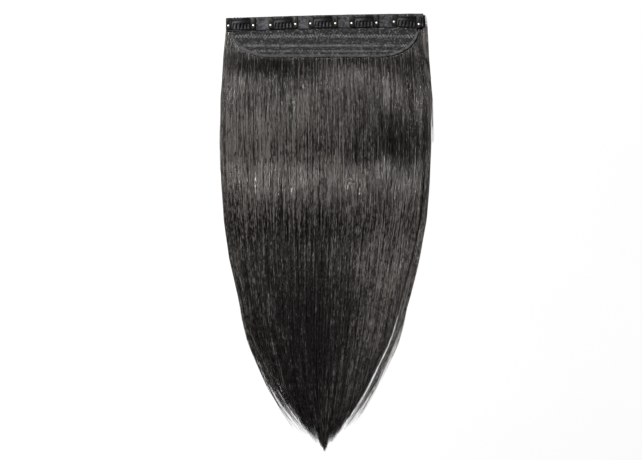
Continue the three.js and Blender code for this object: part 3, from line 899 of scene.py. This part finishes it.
rimPlan = {
    "startDown": 4.0, "steps": 400, "stations": 420, "sides": 12, "roundness": 0.8, "half": 0.85,
    "lift": 0.9, "pinch": 0.05, "loopPitch": 1.7, "loopLength": 300, "loopPoints": 9,
    "loopPast": 0.15, "loopOutside": 0.12, "loopLean": 0.55, "loopRise": 1.0, "loopRadius": 0.22,
}


# The middle of the rim as a curve, down the left side, along the bottom and up the right side:
# its points, the way outwards at each and the length so far.
def rimCurve(count):
    steps = rimPlan["steps"]
    startAngle = math.asin(rimPlan["startDown"] / panelPlan["depth"])
    across, down = panelEdge(np.linspace(startAngle, math.pi / 2, steps), -panelPlan["binding"] / 2)
    x = np.concatenate([-across, np.linspace(-across[-1], across[-1], steps + 2)[1:-1], across[::-1]])
    y = np.concatenate([down, np.full(steps, down[-1]), down[::-1]])
    length = np.concatenate([[0], np.cumsum(np.hypot(np.diff(x), np.diff(y)))])
    at = np.linspace(0, length[-1], count)
    x, y = np.interp(at, length, x), np.interp(at, length, y)
    outX, outY = np.gradient(y), -np.gradient(x)
    size = np.hypot(outX, outY)
    return x[:, None], y[:, None], (outX / size)[:, None], (outY / size)[:, None], at[:, None]


# A power of a sine or cosine that keeps its sign. Below 1 it makes an oval squarer.
def squarer(value):
    return np.sign(value) * np.abs(value) ** rimPlan["roundness"]


# Height of the middle of the rim, on the hair.
def rimUp(down):
    return hairHeight(down) + panelPlan["layerGap"] + rimPlan["lift"]


# The bound edge: a soft oval section carried along the rim, pinched a little at each loop.
def panelBinding():
    count, sides = rimPlan["stations"], rimPlan["sides"]
    x, y, outX, outY, at = rimCurve(count)
    angle = np.arange(sides) * 2 * math.pi / sides
    pinch = 1 + rimPlan["pinch"] * np.cos(2 * math.pi * at / rimPlan["loopPitch"])
    wide = panelPlan["binding"] / 2 * squarer(np.cos(angle))
    tall = rimPlan["half"] * squarer(np.sin(angle))
    points = place(x + outX * wide * pinch, y + outY * wide * pinch, rimUp(y) + tall * pinch)
    walls = gridFaces(count, sides, wrap=True)
    caps = np.stack([np.arange(sides)[::-1], (count - 1) * sides + np.arange(sides)])
    uv = np.stack(np.broadcast_arrays(at / 1000, angle[None, :] / 1000), -1).reshape(-1, 2)
    return makePiece("panel_binding_edge", points.reshape(-1, 3), [walls, caps], rimLook, uv=uv)


# Overlock loops round the bound edge: each is half an oval over the edge, leaning along it.
def overlockLoops():
    x, y, outX, outY, _ = rimCurve(int(rimPlan["loopLength"] / rimPlan["loopPitch"]))
    past = rimPlan["loopPast"]
    turn = np.linspace(-past, math.pi + past, rimPlan["loopPoints"])[None, :]
    wide = (panelPlan["binding"] / 2 + rimPlan["loopOutside"]) * np.cos(turn)
    lean = rimPlan["loopLean"] * np.cos(turn)
    across = x + outX * wide + outY * lean
    down = y + outY * wide - outX * lean
    up = rimUp(y) + rimPlan["loopRise"] * np.sin(turn)
    paths = place(across, down, up)
    return threadPiece("panel_binding_loops", paths, rimPlan["loopRadius"], 4, greyThread)


zigzagPlan = {
    "rows": [(26.2, 2.3, 3.6), (38.4, 1.6, 3.3), (45.6, 1.5, 3.8)],  # down, half height, length
    "points": 900, "roundness": 0.96, "inside": 1, "lift": 0.10, "radius": 0.30,
}


# Zigzag rows that sew the wefts to the net: a triangle wave with rounded turns, on the cloth.
def zigzagRows():
    plan, paths = zigzagPlan, []
    for k, (down, tall, pitch) in enumerate(plan["rows"]):
        inner = panelPlan["depth"] - panelPlan["binding"]
        angle = math.asin(min(0.999, (down - tapePlan["height"]) / inner))
        reach = panelEdge(np.array(angle), -panelPlan["binding"])[0] - plan["inside"]
        across = np.linspace(-reach, reach, plan["points"])
        swing = 2 / math.pi * np.arcsin(plan["roundness"] * np.sin(2 * math.pi * across / pitch + k))
        rowDown = down + tall * swing
        paths.append(place(across, rowDown, panelUp(rowDown) + plan["lift"]))
    return threadPiece("panel_zigzag", np.array(paths), plan["radius"], 4, rowThread)


settle(panelBinding(), node="panel_binding")
settle(overlockLoops())
settle(zigzagRows())
print("binding and stitches ready")


# The folded tape: a flat closed section with round edges, a seam groove and a soft fold, carried
# across along the tape's edge, which ruffles a little.
def topTape():
    plan, stations = tapePlan, tapePlan["stations"]
    side = np.linspace(0, 1, plan["profile"])
    upDown = side * plan["height"]
    seamDown, seamHalf, seamDepth = plan["seam"]
    foldDown, foldHalf, foldHeight = plan["fold"]
    height = plan["thickness"] * (1 - plan["crown"] * (2 * side - 1) ** 8)
    height = height - seamDepth * bell((upDown - seamDown) / seamHalf)
    height = height + foldHeight * bell((upDown - foldDown) / foldHalf) - plan["sink"]
    under = upDown[::-1][1:-1:3]
    profileDown = np.concatenate([upDown, under])
    profileUp = np.concatenate([height, np.zeros(len(under))])
    across = np.linspace(-1, 1, stations)[:, None] * plan["width"] / 2
    rng = np.random.default_rng(8)
    ruffle = sum(high * softNoise(rng, across, length) for length, high in plan["ruffles"])
    down = profileDown + tapeEdge(across) + ruffle * (profileDown / plan["height"] - 0.5)
    swellLength, swell = plan["swell"]
    up = plan["low"] + profileUp + swell * softNoise(rng, across, swellLength) * (profileUp > 0)
    points = place(across, down, up).reshape(-1, 3)
    columns = len(profileDown)
    walls = gridFaces(stations, columns, wrap=True)
    caps = np.stack([np.arange(columns)[::-1], (stations - 1) * columns + np.arange(columns)])
    flow = np.broadcast_arrays(across / 1000, (plan["height"] - profileDown) / 1000)
    uv = np.stack(flow, -1).reshape(-1, 2)
    return makePiece("top_tape_cloth", points, [walls, caps], tapeLook, uv=uv)


# Rows of running stitches: each stitch is a short bowed tube that dips into the cloth at its ends.
def tapeStitches():
    plan, share, paths = tapePlan, np.linspace(-1, 1, 6)[None, :], []
    reach = plan["stitchReach"]
    for down in plan["stitchRows"]:
        middle = np.arange(-reach, reach + 0.1, plan["stitchPitch"])[:, None]
        across = middle + plan["stitchHalf"] * share
        up = plan["low"] + plan["thickness"] + plan["stitchRise"] - plan["stitchDip"] * share**4
        paths.append(place(across, down + tapeEdge(across), up))
    return threadPiece("top_tape_stitches", np.concatenate(paths), plan["stitchRadius"], 4, greyThread)


settle(topTape(), node="top_tape")
settle(tapeStitches())
print("tape ready")


clipPlan = {
    "count": 5, "length": 38, "endMargin": 1, "drop": 11, "low": 6.7, "sheet": 0.6,
    "lay": [(-0.6, -0.7, 0.7), (0.1, 0, 2.3), (-2.1, -0.1, 0.5), (-2.6, 0.4, 0.9), (-1.7, 1.1, -5.5)],
    "frameRound": 0.14, "combRound": 0.12, "weld": 1e-6, "flatWithin": 1, "sharpFrom": 40,
}


# A clip's own plan turned and moved to its place on the tape: a turn about its middle, then a shift.
def clipPlace(number, x, y, z):
    nudge, drop, turn = clipPlan["lay"][number]
    pitch = (tapePlan["width"] - clipPlan["length"] - 2 * clipPlan["endMargin"]) / (clipPlan["count"] - 1)
    middle = (number - (clipPlan["count"] - 1) / 2) * pitch + nudge
    cos, sin = math.cos(math.radians(turn)), math.sin(math.radians(turn))
    across = middle + x * cos - y * sin
    down = tapeEdge(middle) + clipPlan["drop"] + drop - (x * sin + y * cos)
    return place(across, down, clipPlan["low"] + z)


# A merged copy of a CAD node with its flat facets joined and its sharp edges rounded.
def softened(node, name, width, body):
    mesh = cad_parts[node].data.copy()
    mesh.name = name
    work = bmesh.new()
    work.from_mesh(mesh)
    bmesh.ops.remove_doubles(work, verts=work.verts, dist=clipPlan["weld"])
    flat = math.radians(clipPlan["flatWithin"])
    bmesh.ops.dissolve_limit(work, angle_limit=flat, verts=work.verts, edges=work.edges)
    bmesh.ops.recalc_face_normals(work, faces=work.faces)
    work.to_mesh(mesh)
    work.free()
    mesh.materials.clear()
    mesh.materials.append(paintLook)
    mesh.polygons.foreach_set("use_smooth", np.full(len(mesh.polygons), True))
    piece = addObject(name, mesh)
    edge = piece.modifiers.new("roundedEdges", "BEVEL")
    edge.width = width / 1000
    edge.segments = 2
    edge.limit_method = "ANGLE"
    edge.angle_limit = math.radians(clipPlan["sharpFrom"])
    edge.harden_normals = True
    settle(piece, body, node)


rivetPlan = {
    "spacing": 32, "seat": 1.5, "radius": 1.6, "height": 0.9, "fullness": 0.93, "shank": 0.9,
    "sides": 28, "steps": 9,
}


# A rivet: a low dome turned on its axis, whose height is a circle's over its radius, and a shank
# that goes down through the clip.
def rivetHead(number, side, name, node):
    plan, sides, seat = rivetPlan, rivetPlan["sides"], rivetPlan["seat"]
    share = np.linspace(0, 1, plan["steps"])[1:, None]
    radius = np.concatenate([share * plan["radius"], [[plan["radius"]], [plan["shank"]], [plan["shank"]]]])
    dome = seat + plan["height"] * np.sqrt(np.clip(1 - (share * plan["fullness"]) ** 2, 0, 1))
    height = np.concatenate([dome, [[seat], [seat], [0.0]]])
    angle = np.arange(sides)[None, :] * 2 * math.pi / sides
    x = side * plan["spacing"] / 2 + radius * np.cos(angle)
    points = clipPlace(number, x, radius * np.sin(angle), height).reshape(-1, 3)
    rows = len(radius)
    walls = gridFaces(rows, sides, wrap=True)[:, ::-1]
    cap = np.arange(sides)
    foot = (rows - 1) * sides + cap[::-1]
    piece = makePiece(name, points, [walls, cap[None, :], foot[None, :]], rivetLook)
    settle(piece, node=node)


sewingPlan = {
    "turns": 3, "turnPitch": 1.7, "points": 12, "behind": 10.9, "reach": 2.5,
    "sunk": 0.15, "over": 0.45, "fullness": 0.55, "sway": 0.25, "backArch": 1.8, "archReach": 12.4,
    "sideHoles": (-8, -4, 4, 8), "sideRadius": 0.18, "middleRadius": 0.22,
}


# Sewing threads of one clip: each goes from the tape behind the clip, over the back strip and
# down through a hole, as half an oval, three turns side by side.
def clipThreads(number, holes, name, material, radius):
    plan, turns, paths = sewingPlan, sewingPlan["turns"], []
    share = np.linspace(0, 1, plan["points"])[None, :]
    for hole in holes:
        arch = plan["backArch"] * max(0, 1 - (hole / plan["archReach"]) ** 2)
        for k in range(turns):
            offset = (k - (turns - 1) / 2) * radius * plan["turnPitch"]
            x = hole + offset + plan["sway"] * np.sin(math.pi * share + k)
            y = plan["behind"] - plan["reach"] * share
            over = arch + clipPlan["sheet"] + plan["over"]
            z = -plan["sunk"] + over * np.sin(math.pi * share) ** plan["fullness"]
            paths.append(clipPlace(number, x, y, z)[0])
    settle(threadPiece(name, np.array(paths), radius, 5, material))


for number in range(clipPlan["count"]):
    label = f"clip_{number + 1}"
    softened(f"{label}_frame", f"{label}_frame_painted", clipPlan["frameRound"], "extension")
    softened(f"{label}_comb", f"{label}_comb_painted", clipPlan["combRound"], f"comb_{number + 1}")
    rivetHead(number, -1, f"{label}_rivet_left_head", f"{label}_rivet_left")
    rivetHead(number, 1, f"{label}_rivet_right_head", f"{label}_rivet_right")
    clipThreads(number, sewingPlan["sideHoles"], f"{label}_threads", blackThread, sewingPlan["sideRadius"])
    clipThreads(number, (0,), f"{label}_middle_thread", paleThread, sewingPlan["middleRadius"])
print("clips ready")


floorPlan = {
    "half": 6, "points": 13, "below": 0.0002, "roughness": 0.8, "specular": 0.1, "clouds": 3.0,
    "colours": [(0.3, (0.93, 0.93, 0.93)), (0.7, (0.95, 0.95, 0.95))],
}


# The pale floor: a flat grid just below the hair.
def makeFloor():
    plan, points = floorPlan, floorPlan["points"]
    material, tree, shader = newMaterial("paleFloor", plan["roughness"])
    faint = noise(tree, mapped(tree, "Object"), plan["clouds"], 3.0)
    ramp(tree, faint, plan["colours"], shader.inputs["Base Color"])
    shader.inputs["Specular IOR Level"].default_value = plan["specular"]
    line = np.linspace(-plan["half"], plan["half"], points)
    x, y = np.meshgrid(line, line)
    grid = np.stack([x, y, np.full_like(x, -plan["below"])], -1).reshape(-1, 3)
    makePiece("floor", grid, [gridFaces(points, points)], material)


# The key light stands to the left and a little towards the clips, by two angles from straight above.
lightPlan = {"tiltAcross": -24, "tiltUp": 16, "distance": 8.0, "size": 1.2, "power": 950, "world": 0.07}
cameraPlan = {"across": -0.0057, "along": 0.0022, "height": 4.594, "lens": 200, "sensor": 36}


# A round light at a height, moved sideways by the height times the tangent of each angle, that
# looks at the middle of the floor.
def addLight(name):
    tilts = [math.tan(math.radians(lightPlan[key])) for key in ("tiltAcross", "tiltUp")]
    high = lightPlan["distance"]
    position = (high * tilts[0], high * tilts[1], high)
    data = bpy.data.lights.new(name, "AREA")
    data.shape = "DISK"
    data.size = lightPlan["size"]
    data.energy = lightPlan["power"]
    lamp = addObject(name, data)
    lamp.location = position
    lamp.rotation_euler = (-Vector(position)).to_track_quat("-Z", "Y").to_euler()


makeFloor()
addLight("keyLight")
world = bpy.data.worlds.new("studio")
world.use_nodes = True
world.node_tree.nodes["Background"].inputs["Color"].default_value = (1, 1, 1, 1)
world.node_tree.nodes["Background"].inputs["Strength"].default_value = lightPlan["world"]
bpy.context.scene.world = world
bpy.context.scene.view_settings.view_transform = "Standard"

cameraData = bpy.data.cameras.new("camera")
cameraData.lens = cameraPlan["lens"]
cameraData.sensor_width = cameraPlan["sensor"]
camera = addObject("camera", cameraData)
camera.location = (cameraPlan["across"], cameraPlan["along"], cameraPlan["height"])
bpy.context.scene.camera = camera
print("floor, light and camera ready")
